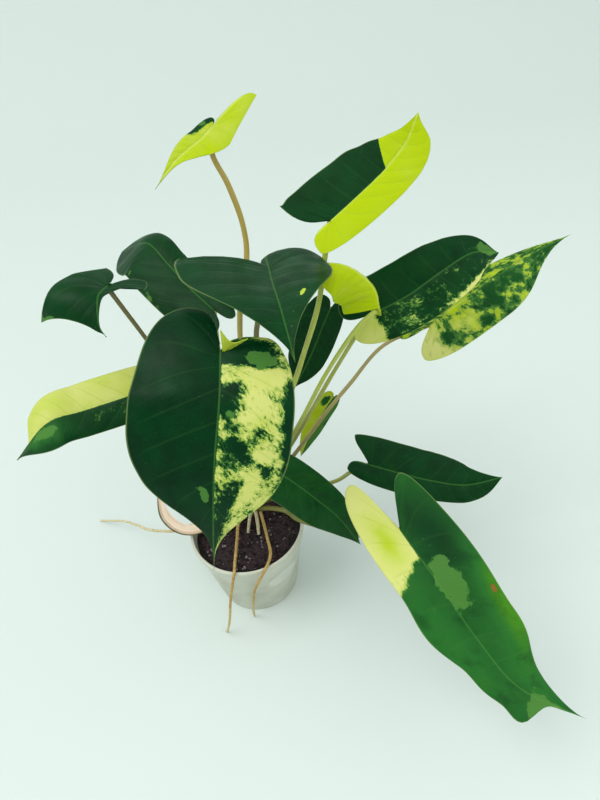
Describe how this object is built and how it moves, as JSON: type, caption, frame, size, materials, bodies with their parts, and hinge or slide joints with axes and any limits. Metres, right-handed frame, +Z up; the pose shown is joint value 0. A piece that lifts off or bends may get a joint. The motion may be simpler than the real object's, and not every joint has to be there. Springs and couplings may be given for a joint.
{
  "type": "potted aroid",
  "caption": "Variegated philodendron with long arrow-shaped leaves on thin stalks, standing in a plain round nursery pot of soil with aerial roots over the rim.",
  "frame": {"origin": "middle of the pot's underside, on the surface it stands on", "axes": "+Z up; +Y away from the viewer of the picture, +X to that viewer's right"},
  "size_m": [0.5878, 0.4052, 0.5299],
  "materials": {
    "pot": "smooth, slightly translucent white",
    "soil": "moist dark potting mix with pale chips",
    "cane": "matt, ringed",
    "stalk": "smooth, waxy",
    "leaf_green": "satin, waxy",
    "leaf_marbled": "satin, waxy, dark green with lime and cream marbling",
    "leaf_lime": "satin, waxy",
    "sheath": "dry, papery",
    "root": "matt, fibrous"
  },
  "bodies": {
    "root": {"pot": "pot", "soil": "soil", "cane": "cane", "blade_front": "leaf_marbled", "stalk_front": "stalk", "blade_low_right": "leaf_marbled", "stalk_low_right": "stalk", "blade_crown_right": "leaf_lime", "stalk_crown_right": "stalk", "blade_right_upper": "leaf_marbled", "stalk_right_upper": "stalk", "blade_right_marbled": "leaf_marbled", "stalk_right_marbled": "stalk", "blade_centre": "leaf_green", "stalk_centre": "stalk", "blade_left_back": "leaf_green", "stalk_left_back": "stalk", "blade_left_claw": "leaf_green", "stalk_left_claw": "stalk", "blade_left_cream": "leaf_marbled", "stalk_left_cream": "stalk", "blade_crown_left": "leaf_lime", "stalk_crown_left": "stalk", "blade_hood": "leaf_lime", "stalk_hood": "stalk", "blade_back_shade": "leaf_green", "stalk_back_shade": "stalk", "blade_low_lime": "leaf_lime", "stalk_low_lime": "stalk", "blade_low_front": "leaf_green", "stalk_low_front": "stalk", "blade_arrow": "leaf_green", "stalk_arrow": "stalk", "sheath": "sheath", "root_front_left": "root", "root_front_right": "root", "root_left": "root"}
  },
  "joints": []
}
